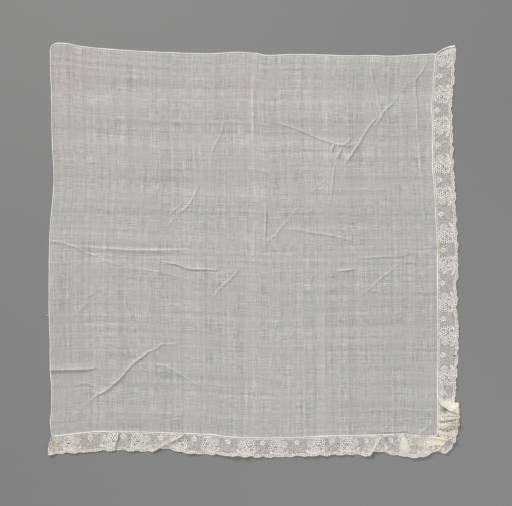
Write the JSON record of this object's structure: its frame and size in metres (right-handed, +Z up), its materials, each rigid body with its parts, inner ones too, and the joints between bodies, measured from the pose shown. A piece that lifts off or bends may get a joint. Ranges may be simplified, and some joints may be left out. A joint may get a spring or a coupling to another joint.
{
  "type": "lace-edged muslin fichu",
  "caption": "Square neckerchief of sheer muslin with rolled hems, edged on two sides with gathered floral net lace, lying flat.",
  "frame": {"origin": "middle of the whole piece's outline, on the surface that it lies on", "axes": "+Z up, out of the cloth's right side; +X towards the laced right edge; +Y towards the hemmed top edge, so the other laced edge is at -Y"},
  "size_m": [0.8237, 0.8291, 0.0059],
  "materials": {
    "muslin": "sheer plain-weave muslin, matt, off-white, with slubs and pressed creases",
    "lace": "floral net lace in fine cotton thread, matt, warm off-white"
  },
  "bodies": {
    "root": {"muslin_square": "muslin", "lace_edging": "lace"}
  },
  "joints": []
}
